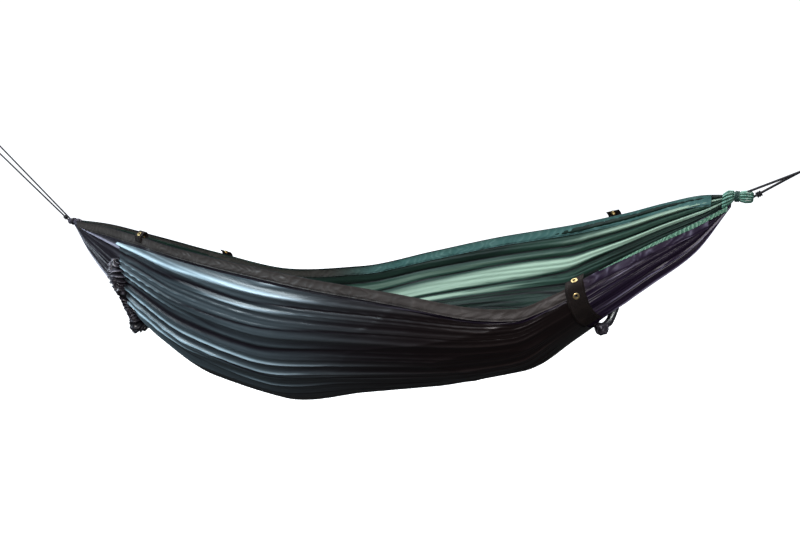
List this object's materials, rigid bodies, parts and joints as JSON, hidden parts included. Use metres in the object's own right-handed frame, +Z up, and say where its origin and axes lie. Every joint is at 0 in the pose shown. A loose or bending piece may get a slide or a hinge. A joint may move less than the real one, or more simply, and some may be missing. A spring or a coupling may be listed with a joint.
{
  "type": "camping hammock",
  "caption": "Gathered-end camping hammock hung taut between two carabiners: two-layer bed, underside mat sleeve, eyelet straps, cord suspension.",
  "frame": {"origin": "middle of the head carabiner's rod where the head cord bears", "axes": "+X level towards the foot carabiner's rod, +Z up, -Y the near side"},
  "size_m": [3.2173, 0.7132, 0.8881],
  "materials": {
    "outer_nylon": "glossy coated nylon",
    "inner_nylon": "satin nylon",
    "hem_nylon": "satin nylon hem",
    "inner_hem_nylon": "satin nylon hem",
    "sleeve_nylon": "glossy coated nylon",
    "channel_nylon": "gathered nylon",
    "foot_channel_nylon": "gathered nylon",
    "whipping_cord": "braided cord",
    "suspension_cord": "braided cord",
    "knot_cord": "braided cord",
    "webbing": "woven webbing",
    "brass": "polished brass",
    "brass_washer": "satin brass",
    "mouth_nylon": "crumpled nylon",
    "drawcord": "braided cord",
    "carabiner_alloy": "anodised",
    "gate_alloy": "satin",
    "pin_steel": "turned",
    "spring_steel": "drawn wire"
  },
  "bodies": {
    "head_carabiner_body": {"head_carabiner": "carabiner_alloy", "head_gate_pin": "pin_steel"},
    "head_gate_body": {"head_gate": "gate_alloy", "head_gate_spring": "spring_steel"},
    "hammock": {"outer_panel": "outer_nylon", "inner_panel": "inner_nylon", "near_hem": "hem_nylon", "far_hem": "inner_hem_nylon", "mat_sleeve": "sleeve_nylon", "head_channel": "channel_nylon", "foot_channel": "foot_channel_nylon", "head_whipping": "whipping_cord", "foot_whipping": "whipping_cord", "head_cord": "suspension_cord", "foot_cord": "suspension_cord", "head_cord_knot": "knot_cord", "foot_cord_knot": "knot_cord", "head_near_strap": "webbing", "head_far_strap": "webbing", "foot_near_strap": "webbing", "foot_far_strap": "webbing", "head_eyelets": "brass", "foot_eyelets": "brass", "head_washers": "brass_washer", "foot_washers": "brass_washer", "head_sleeve_mouth": "mouth_nylon", "foot_sleeve_mouth": "mouth_nylon", "head_drawcord": "drawcord", "foot_drawcord": "drawcord"},
    "foot_carabiner_body": {"foot_carabiner": "carabiner_alloy", "foot_gate_pin": "pin_steel"},
    "foot_gate_body": {"foot_gate": "gate_alloy", "foot_gate_spring": "spring_steel"}
  },
  "joints": [
    {"name": "swing", "type": "hinge", "parent": "head_carabiner_body", "child": "hammock", "pos_m": [0, 0, 0], "axis": [1, 0, 0], "range_deg": [-25, 25]},
    {"name": "foot_swivel", "type": "hinge", "parent": "hammock", "child": "foot_carabiner_body", "pos_m": [3.04574, 0, -0.00007], "axis": [1, 0, 0], "range_deg": [-25, 25]},
    {"name": "head_gate_hinge", "type": "hinge", "parent": "head_carabiner_body", "child": "head_gate_body", "pos_m": [-0.05618, 0.02, 0.03832], "axis": [-0.5635, 0, -0.8261], "range_deg": [0, 28], "stiffness_Nm_per_rad": 0.3, "springref_deg": -17.19},
    {"name": "foot_gate_hinge", "type": "hinge", "parent": "foot_carabiner_body", "child": "foot_gate_body", "pos_m": [3.11451, 0, 0.01709], "axis": [0, 1, 0], "range_deg": [0, 28], "stiffness_Nm_per_rad": 0.3, "springref_deg": -17.19}
  ],
  "couplings": [
    {"joint": "foot_swivel", "follows": "swing", "ratio": -1}
  ]
}
